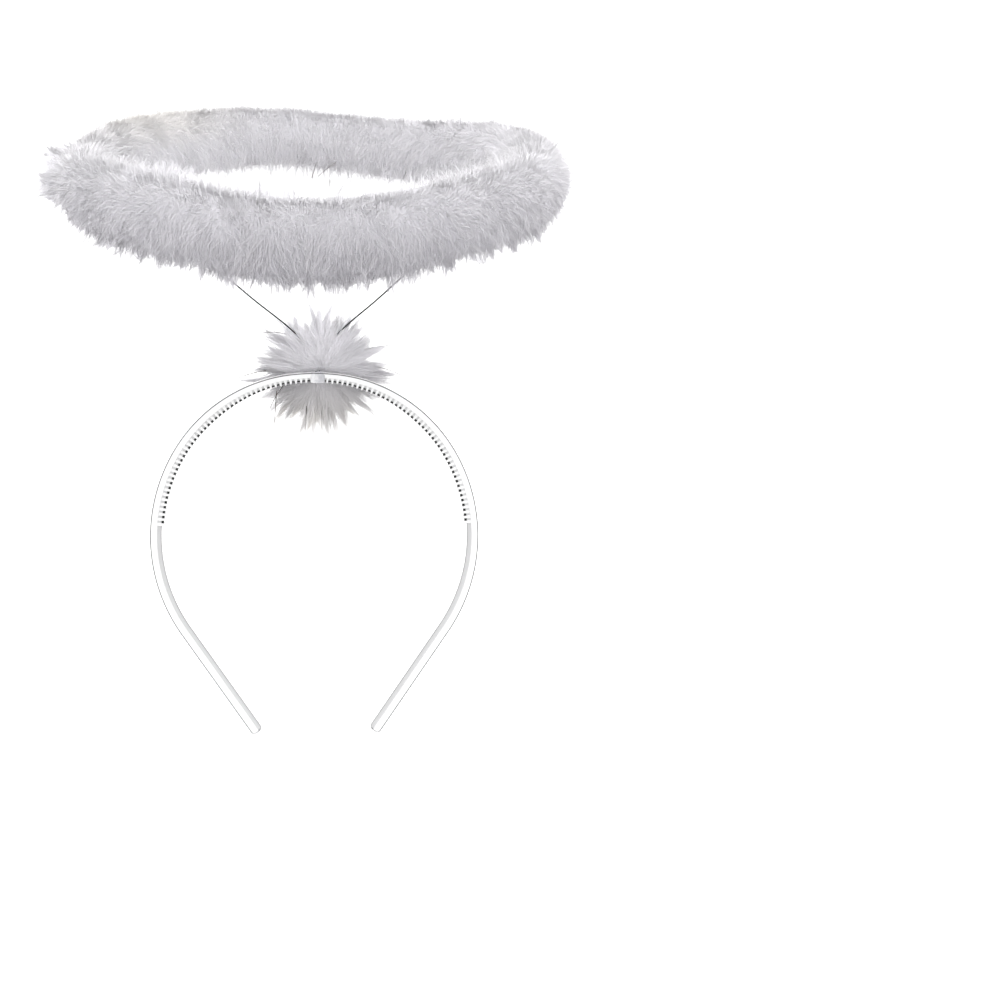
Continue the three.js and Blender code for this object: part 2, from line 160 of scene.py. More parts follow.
def part_frame():
    """The upright axes and origin in the part's frame, from the mount on the band's front."""
    mount = next(m for m in frame["record"]["mounts"] if m["name"] == "front_rim")
    back = -np.array(mount["axis"])
    right = np.array((1.0, 0, 0))
    turn = np.stack([right, back, np.cross(right, back)], axis=1)
    there = band_points(FRONT_MOUNT_DISTANCE, FRONT_MOUNT_INWARD, -HALF)
    return turn, np.array(mount["pos_m"]) - turn @ there * MM


TURN, ORIGIN = part_frame()


def place(points):
    """Upright millimetres to the part's frame in metres."""
    return points @ TURN.T * MM + ORIGIN


# Camera, floor and light

PICTURE_PIXELS = 1000
MM_PER_PIXEL = 0.4
BAND_MIDDLE_PIXEL = (314.5, 535.5)
SENSOR_WIDTH = 36
SHIFT = (0.09, -0.08)
EYE = np.array((0, -700.0, 115))
LIGHT_SPOT, LIGHT_TARGET = (0.0, 0.9, 2.1), (0, 0, 0.05)
LIGHT_SIZE, LIGHT_POWER = 2.4, 32
FLOOR_HALF = 4.0


def make_camera():
    """The photograph's view: the eye stands in front of the band and a little above the tuft. The
    camera looks along the axis that the shift leaves, and its lens follows from the scale."""
    axis_x = PICTURE_PIXELS * (0.5 - SHIFT[0])
    axis_y = PICTURE_PIXELS * (0.5 + SHIFT[1])
    across, down = axis_x - BAND_MIDDLE_PIXEL[0], axis_y - BAND_MIDDLE_PIXEL[1]
    target = np.array((across * MM_PER_PIXEL, 0, -down * MM_PER_PIXEL))
    ahead = unit(target - EYE)
    right = unit(np.cross(ahead, (0, 0, 1)))
    above = np.cross(right, ahead)
    data = bpy.data.cameras.new("camera")
    data.sensor_width = SENSOR_WIDTH
    data.lens = np.linalg.norm(target - EYE) / MM_PER_PIXEL * SENSOR_WIDTH / PICTURE_PIXELS
    data.shift_x, data.shift_y = SHIFT
    data.clip_start, data.clip_end = 0.01, 50
    camera = bpy.data.objects.new("camera", data)
    bpy.context.scene.collection.objects.link(camera)
    turn = Matrix((TURN @ np.stack([right, above, -ahead], axis=1)).tolist()).to_4x4()
    camera.matrix_world = Matrix.Translation(place(EYE).tolist()) @ turn
    bpy.context.scene.camera = camera


def area_light(name, spot, target, size, power):
    """A round lamp at a spot, facing a target."""
    data = bpy.data.lights.new(name, "AREA")
    data.shape = "DISK"
    data.size = size
    data.energy = power
    light = bpy.data.objects.new(name, data)
    bpy.context.scene.collection.objects.link(light)
    spot, target = np.array(spot, float), np.array(target, float)
    away = unit(spot - target)
    sideways = (0.3, 1, 0)
    right = unit(np.cross(sideways, away))
    turn = Matrix(np.stack([right, np.cross(away, right), away], axis=1).tolist()).to_4x4()
    light.matrix_world = Matrix.Translation(spot.tolist()) @ turn


# Materials

class Socket:
    """An output socket that works in sums with plain numbers and other sockets."""

    def __init__(self, shader, output):
        self.shader, self.output = shader, output

    def maths(self, operation, *inputs):
        return self.shader.node("ShaderNodeMath", {"operation": operation}, dict(enumerate(inputs)))

    def __add__(self, other):
        return self.maths("ADD", self, other)

    def __rsub__(self, other):
        return self.maths("SUBTRACT", other, self)

    def __mul__(self, other):
        return self.maths("MULTIPLY", self, other)

    def __truediv__(self, other):
        return self.maths("DIVIDE", self, other)

    __radd__, __rmul__ = __add__, __mul__


class Shader:
    """A material whose nodes are made one call each."""

    def __init__(self, name):
        self.material = bpy.data.materials.new(name)
        self.material.use_nodes = True
        self.tree = self.material.node_tree
        self.tree.nodes.clear()

    def node(self, kind, settings=None, inputs=None, output=0):
        """A node of a kind, with its settings, its inputs' values or links, and its output."""
        made = self.tree.nodes.new(kind)
        for key, value in (settings or {}).items():
            setattr(made, key, value)
        for key, value in (inputs or {}).items():
            if isinstance(value, Socket):
                self.tree.links.new(value.output, made.inputs[key])
            else:
                made.inputs[key].default_value = value
        return Socket(self, made.outputs[output])

    def here(self):
        return self.node("ShaderNodeTexCoord", output="Object")

    def noise(self, scale, detail=2.0):
        inputs = {"Vector": self.here(), "Scale": scale, "Detail": detail}
        return self.node("ShaderNodeTexNoise", None, inputs)

    def attribute(self, name):
        return self.node("ShaderNodeAttribute", {"attribute_name": name}, output="Fac")

    def ranged(self, value, low, high):
        """0 below low, 1 above high, smooth between."""
        settings = {"interpolation_type": "SMOOTHSTEP"}
        return self.node("ShaderNodeMapRange", settings,
                         {"Value": value, "From Min": low, "From Max": high})

    def colours(self, share, first, second):
        inputs = {"Factor": share, 6: first, 7: second}
        return self.node("ShaderNodeMix", {"data_type": "RGBA"}, inputs, output=2)

    def bump(self, height, distance, strength):
        inputs = {"Height": height, "Distance": distance, "Strength": strength}
        return self.node("ShaderNodeBump", None, inputs)

    def finish(self, surface):
        end = self.tree.nodes.new("ShaderNodeOutputMaterial")
        self.tree.links.new(surface.output, end.inputs["Surface"])
        return self.material


def rgb(red, green, blue):
    """A colour without transparency."""
    return (red, green, blue, 1.0)


# The down's painted shade and painted light: the grey it is blended to where painted shaded, the white
# where painted lit
FLUFF_SHADED, FLUFF_LIT = rgb(0.50, 0.49, 0.53), rgb(0.96, 0.95, 0.985)
FLUFF_CREAM = rgb(0.99, 0.96, 0.91)
SOFT_NORMAL_SHARE = 0.93
FLOOR_GLOW = 0.65

# The round ejector mark on the band's front, near the left tip
MARK_FROM_TIP, MARK_INWARD = 3.2, 2.3


def plastic_material():
    """White moulded plastic with a satin gloss, with shade painted into its colour by three attributes:
    a thin dark grey line of painted edge shade along the band's corners and round its tips, painted
    shade on the ridge's sides beside the plate, and near-black painted shade between the comb's
    teeth. A faint round ejector mark sits near the left tip."""
    s = Shader("white_moulded_plastic")
    white = s.colours(s.noise(60.0, 3.0), rgb(0.86, 0.86, 0.86), rgb(0.93, 0.93, 0.93))
    # painted shade on the ridge's sides, beside the plate
    groove_shaded = s.colours(s.attribute("groove_shade"), white, rgb(0.30, 0.30, 0.31))
    mark = place(band_points(MARK_FROM_TIP - BAND_END, MARK_INWARD, -HALF))
    away = s.node("ShaderNodeVectorMath", {"operation": "DISTANCE"},
                  {0: s.here(), 1: tuple(mark)}, output="Value") / MM
    ringed = s.ranged(away, 0.5, 0.75) * (1 - s.ranged(away, 0.8, 1.05))
    marked = s.colours(ringed * 0.35, groove_shaded, rgb(0.3, 0.3, 0.3))
    # painted edge shade: a thin dark grey line along the band's corners and round its tips
    edge_shaded = s.colours(s.attribute("edge_shade"), marked, rgb(0.05, 0.05, 0.055))
    # near-black painted shade between the comb's teeth
    colour = s.colours(s.attribute("dark"), edge_shaded, rgb(0.012, 0.012, 0.012))
    rough = 0.32 + 0.12 * s.noise(220.0, 2.0)
    orange_peel = s.bump(s.noise(900.0, 2.0), 0.00004, 0.3)
    return s.finish(s.node("ShaderNodeBsdfPrincipled", None, {
        "Base Color": colour, "Roughness": rough, "Normal": orange_peel,
        "IOR": 1.46, "Specular IOR Level": 0.3,
    }))


def glue_material():
    """Milky hot glue, with a little cloudiness and soft dents."""
    s = Shader("milky_hot_glue")
    cloud = s.ranged(s.noise(420.0, 3.0), 0.35, 0.7)
    colour = s.colours(cloud, rgb(0.52, 0.52, 0.55), rgb(0.84, 0.84, 0.85))
    return s.finish(s.node("ShaderNodeBsdfPrincipled", None, {
        "Base Color": colour, "Roughness": 0.3 + 0.2 * s.noise(700.0),
        "Normal": s.bump(s.noise(500.0, 2.0), 0.0002, 0.6),
    }))


def wire_material():
    """Thin dark steel wire, with fine marks along it."""
    s = Shader("dark_steel_wire")
    marks = s.noise(1500.0, 2.0)
    colour = s.colours(marks, rgb(0.025, 0.025, 0.027), rgb(0.07, 0.07, 0.072))
    return s.finish(s.node("ShaderNodeBsdfPrincipled", None, {
        "Base Color": colour, "Roughness": 0.45 + 0.25 * marks,
        "Metallic": 0.3, "Specular IOR Level": 0.25,
    }))


def fluff_material(name):
    """Marabou down: matt white barbs with a faint lavender grey, and cream where the warm
    attribute says so, more towards the tips. The barbs are blended from a shaded grey to a lit white
    by painted light and shade, with their own random tone on top. A barb is lit as the soft surface
    it belongs to: one shader takes the light on its own side of the barb, the other the light that
    comes through."""
    s = Shader(name)
    # painted light and shade, with the barbs' own random tone, blended between the shaded grey and the lit
    # white
    cool_shaded = s.colours(s.attribute("tone_and_shade"), FLUFF_SHADED, FLUFF_LIT)
    warmth = s.attribute("warm") * (0.35 + 0.65 * s.attribute("along"))
    colour = s.colours(warmth, cool_shaded, FLUFF_CREAM)
    flat = s.node("ShaderNodeNewGeometry", output="True Normal")
    outward = s.node("ShaderNodeAttribute", {"attribute_name": "outward"}, output="Vector")
    soft = s.node("ShaderNodeMix", {"data_type": "VECTOR"},
                  {"Factor": SOFT_NORMAL_SHARE, 4: flat, 5: outward}, output=1)
    normal = s.node("ShaderNodeVectorMath", {"operation": "NORMALIZE"}, {0: soft})
    mirrored = s.node("ShaderNodeVectorMath", {"operation": "REFLECT"}, {0: normal, 1: flat})
    sides = [s.node("ShaderNodeBsdfPrincipled", None, {
        "Base Color": colour, "Roughness": 0.9, "Specular IOR Level": 0.05, "Normal": way,
    }) for way in (normal, mirrored)]
    return s.finish(s.node("ShaderNodeAddShader", None, {0: sides[0], 1: sides[1]}))


def shaft_material():
    """The thin dark shafts of a few single feathers, browner and paler in places."""
    s = Shader("dark_feather_shafts")
    paleness = s.ranged(s.noise(300.0), 0.4, 0.7)
    colour = s.colours(paleness, rgb(0.06, 0.055, 0.05), rgb(0.22, 0.2, 0.18))
    return s.finish(s.node("ShaderNodeBsdfPrincipled", None, {"Base Color": colour, "Roughness": 0.6}))


def floor_material():
    """A plain pale floor with a faint cloudiness, which glows a little."""
    s = Shader("pale_floor")
    colour = s.colours(s.noise(3.0), rgb(0.93, 0.93, 0.93), rgb(0.95, 0.95, 0.95))
    return s.finish(s.node("ShaderNodeBsdfPrincipled", None, {
        "Base Color": colour, "Roughness": 0.9, "Specular IOR Level": 0.0,
        "Emission Color": rgb(1, 1, 1), "Emission Strength": FLOOR_GLOW,
    }))


# Mesh builders

def mesh_object(name, points, quads, triangles, material, attributes=None, outward=None):
    """A mesh from arrays: points in upright millimetres, quads and triangles as point numbers,
    attributes as one number to a point, and outward as one upright direction to a point."""
    quads = np.asarray(quads, np.int32).reshape(-1, 4)
    triangles = np.asarray(triangles, np.int32).reshape(-1, 3)
    mesh = bpy.data.meshes.new(name)
    placed = place(points)
    mesh.vertices.add(len(points))
    mesh.vertices.foreach_set("co", placed.astype(np.float32).ravel())
    corners = np.concatenate([quads.ravel(), triangles.ravel()])
    mesh.loops.add(len(corners))
    mesh.loops.foreach_set("vertex_index", corners)
    starts = np.concatenate([
        np.arange(len(quads)) * 4, len(quads) * 4 + np.arange(len(triangles)) * 3,
    ]).astype(np.int32)
    mesh.polygons.add(len(starts))
    mesh.polygons.foreach_set("loop_start", starts)
    mesh.update(calc_edges=True)
    mesh.polygons.foreach_set("use_smooth", np.ones(len(starts), bool))
    for key, values in (attributes or {}).items():
        layer = mesh.attributes.new(key, "FLOAT", "POINT")
        layer.data.foreach_set("value", np.asarray(values, np.float32).ravel())
    if outward is not None:
        layer = mesh.attributes.new("outward", "FLOAT_VECTOR", "POINT")
        layer.data.foreach_set("vector", (outward @ TURN.T).astype(np.float32).ravel())
    mesh.materials.append(material)
    made = bpy.data.objects.new(name, mesh)
    bpy.context.scene.collection.objects.link(made)
    return made


def grid_quads(rows, columns, wrap_rows=False):
    """Quads between neighbours of a grid of points, numbered row by row. The last column meets the
    first, and so does the last row where the rows wrap."""
    row = np.arange(rows if wrap_rows else rows - 1)[:, None]
    column = np.arange(columns)[None, :]
    row, column = np.broadcast_arrays(row, column)
    next_row, next_column = (row + 1) % rows, (column + 1) % columns
    return np.stack([
        row * columns + column, row * columns + next_column,
        next_row * columns + next_column, next_row * columns + column,
    ], axis=-1).reshape(-1, 4)


def fans(rows, columns):
    """Triangles from a grid's first and last rows to two points numbered after the grid."""
    column = np.arange(columns)
    following = (column + 1) % columns
    last = (rows - 1) * columns
    start = np.stack([np.full(columns, rows * columns), following, column], axis=-1)
    end = np.stack([np.full(columns, rows * columns + 1), last + column, last + following], axis=-1)
    return np.concatenate([start, end])


def finish_piece(piece, slot, *nodes):
    """Rides a piece on the part's one body and hides the CAD nodes it replaces; the slot is not used."""
    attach(piece, "root")
    if nodes:
        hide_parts(*nodes)
    return piece


# Band

def rounded(corners, radii, steps):
    """An outline with each corner of a convex or hollow polygon rounded: points on a quadratic
    curve from one side to the next, steps to a corner."""
    corners = np.array(corners, float)
    before, after = np.roll(corners, 1, 0) - corners, np.roll(corners, -1, 0) - corners
    radii = np.array(radii, float)[:, None]
    start, end = corners + unit(before) * radii, corners + unit(after) * radii
    t = np.linspace(0, 1, steps)[None, :, None]
    curve = (1 - t) ** 2 * start[:, None] + 2 * t * (1 - t) * corners[:, None] + t ** 2 * end[:, None]
    return curve.reshape(-1, 2)


BAND_ROWS, TIP_ROWS, CORNER_STEPS = 520, 8, 3
BAND_SECTION = np.array([  # inward, back from the middle, where the corner's rounding starts
    (0, -HALF, 0.12), (0, 0.6 - HALF, 0.02), (0, HALF - 0.6, 0.02), (0, HALF, 0.12),
    (0.2, HALF, 0.02), (0.3, HALF, 0.02), (1, HALF, 0.14), (1, RIDGE_HALF, 0.12),
    (2, RIDGE_HALF - 0.35, 0.2), (2, RIDGE_HALF - 0.8, 0.02),
    (2, 0.8 - RIDGE_HALF, 0.02), (2, 0.35 - RIDGE_HALF, 0.2),
    (1, -RIDGE_HALF, 0.12), (1, -HALF, 0.14), (0.3, -HALF, 0.02), (0.2, -HALF, 0.02),
])


def band_shades(distance, share, inward, back, top):
    """The band's painted shades. A line of painted edge shade runs along the outer face's two long
    edges, along the ridge's two top corners and round the tips. Painted shade lies on the ridge's
    sides, fainter along the comb. Near-black painted shade lies on the front of the ridge's top,
    between the comb's teeth."""
    # painted edge shade along the outer face's long edges, the ridge's top corners and round the tips
    outer = smoothstep((0.42 - inward) / 0.14) * smoothstep((np.abs(back) - HALF + 0.55) / 0.3)
    inner = np.clip(1 - (top - inward) / 0.4, 0, 1) * (np.abs(back) > RIDGE_HALF - 0.65)
    ending = smoothstep((np.abs(distance) - BAND_END + 1.3) / 0.8) * 0.8
    combed = 1 - smoothstep((np.abs(distance) - COMB_REACH) / 0.8)
    # painted shade on the ridge's sides, fainter along the comb
    groove_shade = smoothstep((share - 0.93) / 0.2) * (1 - smoothstep((share - 1.75) / 0.3))
    # near-black painted shade on the front of the ridge's top, between the teeth
    dark = combed * smoothstep((share - 1.8) / 0.15) * np.clip(0.3 - back, 0, 1)
    return {"edge_shade": np.maximum(np.clip(outer + inner, 0, 1), ending),
            "groove_shade": groove_shade * mix(0.5, 0.3, combed), "dark": dark}


def make_band(material):
    """The band: one section of plate and ridge carried along the outer edge, closed at tips that
    narrow by a cosine. In the section, inward is 0 at the outer face, 1 at the plate's inner face
    and 2 at the ridge's top."""
    outline = rounded(BAND_SECTION[:, :2], BAND_SECTION[:, 2], CORNER_STEPS)
    body = np.linspace(TIP_ROUNDING - BAND_END, BAND_END - TIP_ROUNDING, BAND_ROWS)
    turns = np.linspace(0, math.pi / 2, TIP_ROWS + 2)[1:-1]
    ends = BAND_END - TIP_ROUNDING * (1 - np.sin(turns))
    distance = np.concatenate([-ends[::-1], body, ends])[:, None]
    shrink = np.concatenate([np.cos(turns)[::-1], np.ones(len(body)), np.cos(turns)])[:, None]
    plate = thickened(distance, CROWN_PLATE, SIDE_PLATE)
    high = thickened(distance, CROWN_RIDGE, SIDE_RIDGE)
    share, back = outline[None, :, 0], outline[None, :, 1]
    inward = np.minimum(share, 1) * plate + np.maximum(share - 1, 0) * high
    shades = band_shades(distance, share, inward, back, plate + high)
    points = band_points(distance, mix((plate + high) / 2, inward, shrink), back * shrink)
    rows, columns = points.shape[:2]
    caps = band_points(np.array([-BAND_END, BAND_END]), (plate + high)[[0, -1], 0] / 2, 0)
    at_caps = {"edge_shade": 0.8, "groove_shade": 0, "dark": 0}
    made = mesh_object(
        "band_moulding", np.concatenate([points.reshape(-1, 3), caps]),
        grid_quads(rows, columns)[:, ::-1], fans(rows, columns)[:, ::-1], material,
        {key: np.append(shade.ravel(), [at_caps[key]] * 2) for key, shade in shades.items()})
    return finish_piece(made, "band_plastic", "headband")


TOOTH_SUNK, TOOTH_CORNER = 0.5, 0.16
TOOTH_LEVELS = np.array([  # share of the height, width along the band, depth from front to back
    (0, 1.5, 6.0), (0.45, 1.1, 5.7), (0.85, 0.75, 5.35), (0.97, 0.6, 5.1), (1.0, 0.35, 4.7),
])


def make_teeth(material):
    """The comb: each tooth is a wedge of five levels with rounded corners, narrower and shallower
    towards its blunt end."""
    count = round(2 * COMB_REACH / TOOTH_PITCH) + 1
    distance = np.linspace(-COMB_REACH, COMB_REACH, count)
    plate = thickened(distance, CROWN_PLATE, SIDE_PLATE)
    ridge = plate + thickened(distance, CROWN_RIDGE, SIDE_RIDGE)
    top = ridge + thickened(distance, CROWN_OVERHANG, SIDE_OVERHANG)
    level, width, depth = TOOTH_LEVELS.T
    square = [(-0.5, -0.5), (0.5, -0.5), (0.5, 0.5), (-0.5, 0.5)]
    ring = rounded(square, [TOOTH_CORNER] * 4, CORNER_STEPS)
    inward = mix((plate - TOOTH_SUNK)[:, None], top[:, None], level)[:, :, None]
    along = (ring[None, None, :, 0] * width[None, :, None]) + 0 * inward
    back = (ring[None, None, :, 1] * depth[None, :, None]) + 0 * inward
    x, z, angle = (v[:, None, None] for v in edge_at(distance))
    points = np.stack([
        x - inward * np.sin(angle) + along * np.cos(angle), back,
        z - inward * np.cos(angle) - along * np.sin(angle),
    ], axis=-1)
    levels, sides = len(level), len(ring)
    lids = points.mean(axis=2)[:, [0, -1]]
    each = np.concatenate([points.reshape(count, -1, 3), lids], axis=1)
    size = levels * sides + 2
    first = np.arange(count)[:, None, None] * size
    quads = (grid_quads(levels, sides)[None] + first).reshape(-1, 4)
    triangles = (fans(levels, sides)[None] + first).reshape(-1, 3)
    shade = np.zeros((count, size))
    made = mesh_object("comb_teeth", each.reshape(-1, 3), quads, triangles, material,
                       {"edge_shade": shade, "groove_shade": shade, "dark": shade})
    return finish_piece(made, "band_plastic")


# A dark strip put between the comb's teeth to carry painted shade
SHADE_WEB_SHARE, SHADE_WEB_HALF_DEPTH, SHADE_WEB_SHORTER = 0.72, 1.6, 0.3
SHADE_WEB_ROWS, SHADE_WEB_SIDES = 300, 10


def make_gap_shade_web(material):
    """A low strip put along the middle of the ridge between the teeth, where there is only shade: an
    upright oval section carried over the comb. Its front is painted near-black, as painted shade deep
    between the teeth."""
    reach = COMB_REACH - SHADE_WEB_SHORTER
    distance = np.linspace(-reach, reach, SHADE_WEB_ROWS)
    ridge = thickened(distance, CROWN_PLATE, SIDE_PLATE) + thickened(distance, CROWN_RIDGE, SIDE_RIDGE)
    high = thickened(distance, CROWN_OVERHANG, SIDE_OVERHANG) * SHADE_WEB_SHARE
    turn = np.arange(SHADE_WEB_SIDES) * TAU / SHADE_WEB_SIDES
    inward = ridge[:, None] + high[:, None] * np.sin(turn)
    points = band_points(distance[:, None], inward, SHADE_WEB_HALF_DEPTH * np.cos(turn)[None, :])
    rows, columns = points.shape[:2]
    caps = band_points(distance[[0, -1]], ridge[[0, -1]], 0)
    flat = np.zeros(rows * columns + 2)
    # painted shade: the strip's front is near-black
    dark = np.concatenate([np.tile(np.clip(0.35 - np.cos(turn), 0, 1), rows), [0.5, 0.5]])
    made = mesh_object("comb_gap_shade_web", np.concatenate([points.reshape(-1, 3), caps]), grid_quads(rows, columns),
                       fans(rows, columns), material, {"edge_shade": flat, "groove_shade": flat, "dark": dark})
    return finish_piece(made, "band_plastic")


# Wires and collar

def hoop_frame(points):
    """From the hoop's own frame to the upright one: tilted about X, then moved to its centre."""
    cos, sin = math.cos(HOOP_TILT), math.sin(HOOP_TILT)
    x, y, z = points[..., 0], points[..., 1], points[..., 2]
    return np.stack([x, y * cos - z * sin, y * sin + z * cos], axis=-1) + HOOP_CENTRE


def turned(vectors):
    """Directions in the hoop's own frame as upright ones."""
    return hoop_frame(vectors) - HOOP_CENTRE


def ring_place(angle, turn, reach):
    """A place in the ring: angle along it, turn round its tube, reach from the hoop's wire. The
    hoop stands off its own plane: raised at both sides by a squared cosine, and dipping at one
    place by a high power of a cosine."""
    out = HOOP_RADIUS + reach * np.cos(turn)
    near = np.maximum(np.cos(angle - HOOP_DIP_ANGLE), 0)
    rise = HOOP_SIDE_RISE * np.cos(angle) ** 2 - HOOP_DIP * near ** HOOP_DIP_SHARPNESS
    places = [out * np.cos(angle), out * np.sin(angle), reach * np.sin(turn) + rise]
    return hoop_frame(np.stack(places, axis=-1))


def smooth_path(points, steps):
    """A centripetal Catmull-Rom curve through the points, steps samples to a span."""
    padded = np.concatenate([[2 * points[0] - points[1]], points, [2 * points[-1] - points[-2]]])
    p0, p1, p2, p3 = padded[:-3, None], padded[1:-2, None], padded[2:-1, None], padded[3:, None]
    gap = [np.linalg.norm(b - a, axis=-1, keepdims=True) ** 0.5
           for a, b in ((p0, p1), (p1, p2), (p2, p3))]
    m1 = ((p1 - p0) / gap[0] - (p2 - p0) / (gap[0] + gap[1]) + (p2 - p1) / gap[1]) * gap[1]
    m2 = ((p2 - p1) / gap[1] - (p3 - p1) / (gap[1] + gap[2]) + (p3 - p2) / gap[2]) * gap[1]
    t = np.linspace(0, 1, steps, endpoint=False)[None, :, None]
    curve = p1 + m1 * t + (3 * (p2 - p1) - 2 * m1 - m2) * t ** 2 + (2 * (p1 - p2) + m1 + m2) * t ** 3
    return np.concatenate([curve.reshape(-1, 3), points[-1:]])


def stem_path(side):
    """The centre line of a stem, from the collar to the hoop; side is -1 or 1. It is a smooth curve
    through a straight foot, the named bends and a place just short of the hoop."""
    behind = HALF + TOUCH_GAP + WIRE_DIAMETER / 2
    top = BAND_TOP + TOUCH_GAP + WRAP_WALL
    foot = np.array((WRAP_OFFSET + side * FOOT_SPACING / 2, behind, top))
    goal = ring_place(np.array(math.pi if side < 0 else 0.0), np.array(0.0), np.array(0.0))
    inside = foot - np.array([1, 0.5, 0])[:, None] * (0, 0, FOOT_LENGTH)
    out, up, back = STEM_BENDS.T
    bends = np.stack([mix(foot[0], goal[0], out), mix(foot[1], goal[1], up) + STEM_BACK_BOW * back,
                      mix(foot[2], goal[2], up)], axis=-1)
    last = goal - unit(goal - bends[-1]) * (WIRE_DIAMETER + TOUCH_GAP)
    return smooth_path(np.concatenate([inside, bends, [last]]), 16)


def make_tube(name, path, radius, material, slot, node, closed=False, sides=12):
    """A round tube along a path: rings across the path's direction, closed at the ends."""
    ahead = np.roll(path, -1, 0) - np.roll(path, 1, 0)
    if not closed:
        ahead[0], ahead[-1] = path[1] - path[0], path[-1] - path[-2]
    ahead = unit(ahead)
    upward = turned(np.array((0, 0, 1.0))) if closed else (0, 1, 0)
    across = unit(np.cross(ahead, upward))
    other = np.cross(ahead, across)
    turn = (np.arange(sides) * TAU / sides)[:, None]
    rings = path[:, None] + radius * (across[:, None] * np.cos(turn) + other[:, None] * np.sin(turn))
    rows = len(path)
    points, lids = rings.reshape(-1, 3), np.zeros((0, 3), int)
    if not closed:
        points, lids = np.concatenate([points, path[[0, -1]]]), fans(rows, sides)
    made = mesh_object(name, points, grid_quads(rows, sides, wrap_rows=closed), lids, material)
    return finish_piece(made, slot, node)


COLLAR_SIDES, COLLAR_ROWS, COLLAR_SQUARENESS = 64, 15, 0.35
COLLAR_SINK, COLLAR_SWELL, COLLAR_INNER, COLLAR_LUMP = -0.32, 0.2, -0.4, 0.03


def squared(wave):
    """A sine or cosine bent towards -1 and 1, which makes a circle a soft square."""
    return np.sign(wave) * np.abs(wave) ** COLLAR_SQUARENESS


def make_collar(material):
    """Hot glue smeared round the band and the wires' foot: a sleeve with a soft square section,
    its outer skin lumpy and drawn in at both ends, its inner skin a little inside it."""
    turn = np.arange(COLLAR_SIDES) * TAU / COLLAR_SIDES
    front, back = -HALF - TOUCH_GAP, HALF + 2 * TOUCH_GAP + WIRE_DIAMETER
    top = BAND_TOP + TOUCH_GAP
    bottom = BAND_TOP - CROWN_PLATE - CROWN_RIDGE - CROWN_OVERHANG - TOUCH_GAP
    along = np.linspace(-1, 1, COLLAR_ROWS)
    swell = COLLAR_SINK + COLLAR_SWELL * np.sqrt(np.maximum(1 - along ** 4, 0))
    skin = np.concatenate([swell, np.full(3, COLLAR_INNER)])
    where = np.concatenate([along, [0.9, 0, -0.9]]) * WRAP_WIDTH / 2 + WRAP_OFFSET
    waves = np.sin(3 * turn + 1.3 * where[:, None]) + np.sin(5 * turn - 2.1 * where[:, None])
    waves[-3:] = 0
    proud = skin[:, None] + COLLAR_LUMP * waves
    points = np.stack([
        where[:, None] + 0 * turn,
        (front + back) / 2 + ((back - front) / 2 + proud) * squared(np.cos(turn)),
        (top + bottom) / 2 + ((top - bottom) / 2 + proud) * squared(np.sin(turn)),
    ], axis=-1)
    faces = grid_quads(len(where), COLLAR_SIDES, wrap_rows=True)
    made = mesh_object("glue_collar", points.reshape(-1, 3), faces, [], material)
    return finish_piece(made, "glue", "glue_wrap")


# Fluff

RIBBON_TWIST, RIBBON_MIDDLE = 0.45, 0.8
FLOOR_CLEARANCE = 0.05


def ribbons(root, middle, tip, width, outward):
    """Barbs as strips that narrow to a point: a quad from root to middle, a triangle to the tip.
    Each faces outward as far as its direction allows. Gives points and the two kinds of faces."""
    ahead = unit(tip - root)
    twisted = outward + RIBBON_TWIST * rng.normal(size=root.shape)
    side = unit(np.cross(ahead, twisted)) * width[:, None] / 2
    inner = RIBBON_MIDDLE * side
    points = np.stack([root - side, root + side, middle + inner, middle - inner, tip], axis=1)
    first = np.arange(len(root))[:, None] * 5
    return points.reshape(-1, 3), first + [0, 1, 2, 3], first + [3, 2, 4]


def make_fluff(name, barbs, material, *nodes):
    """A mesh of barbs. Points that would lie under the floor are raised to just above it."""
    root, middle, tip, width, outward, tone_and_shade, warm = barbs
    points, quads, triangles = ribbons(root, middle, tip, width, outward)
    below = FLOOR_CLEARANCE - ORIGIN[2] / MM - points @ TURN[2]
    points = points + np.maximum(below, 0)[:, None] * TURN[2]
    along = np.tile([0, 0, 0.5, 0.5, 1.0], len(root))
    made = mesh_object(name, points, quads, triangles, material,
                       {"along": along, "tone_and_shade": np.repeat(tone_and_shade, 5), "warm": np.repeat(warm, 5)},
                       np.repeat(outward, 5, axis=0))
    return finish_piece(made, "fluff", *nodes)


# The ring's down, in millimetres from the hoop. The roots and the core are shares of its reach.

RING_REACH, RING_HANG = 15.6, 3.8
SHORTEST, LONGEST, LONGEST_HAZE, SHORTEST_WISP, LONGEST_WISP = 7, 20, 23, 12, 23
BARB_ROOT, HAZE_ROOT, CORE_SHARE = 0.76, 0.85, 0.82
WISP_ROOT = 10.0
LOOSE_SHARE = 0.12
BARBS_PER_QUARTER, HAZE_BARBS = 49000, 42000
CORE_ROWS, CORE_SIDES = 300, 32
GOLDEN_SHARE = 0.6180339887
TUBE_AT_ROOT, TUBE_AT_TIP, TUBE_AT_WISP_TIP = 12, 14, 15
FRONT_LEAN, WISP_FRONT_LEAN, EDGE_LEAN = 0.35, 1.0, 0.9
WISP_GROUPS = [  # locks, angle, its spread, turn, its spread, extra reach, its spread, barbs to a lock
    (330, -1.57, 1.45, -1.3, 0.35, 4.6, 2.0, 22),
    (80, 1.57, 1.2, -1.85, 0.35, 2.2, 1.2, 20),
    (60, 1.57, 1.4, 1.3, 0.4, 2.0, 1.2, 16),
    (40, -1.2, 0.9, 2.0, 0.4, 2.2, 1.4, 18),
    (50, -1.95, 0.35, 1.8, 0.35, 6.5, 1.8, 14),
    (70, 3.14, 0.24, -0.1, 0.7, 7.2, 1.5, 44),
]


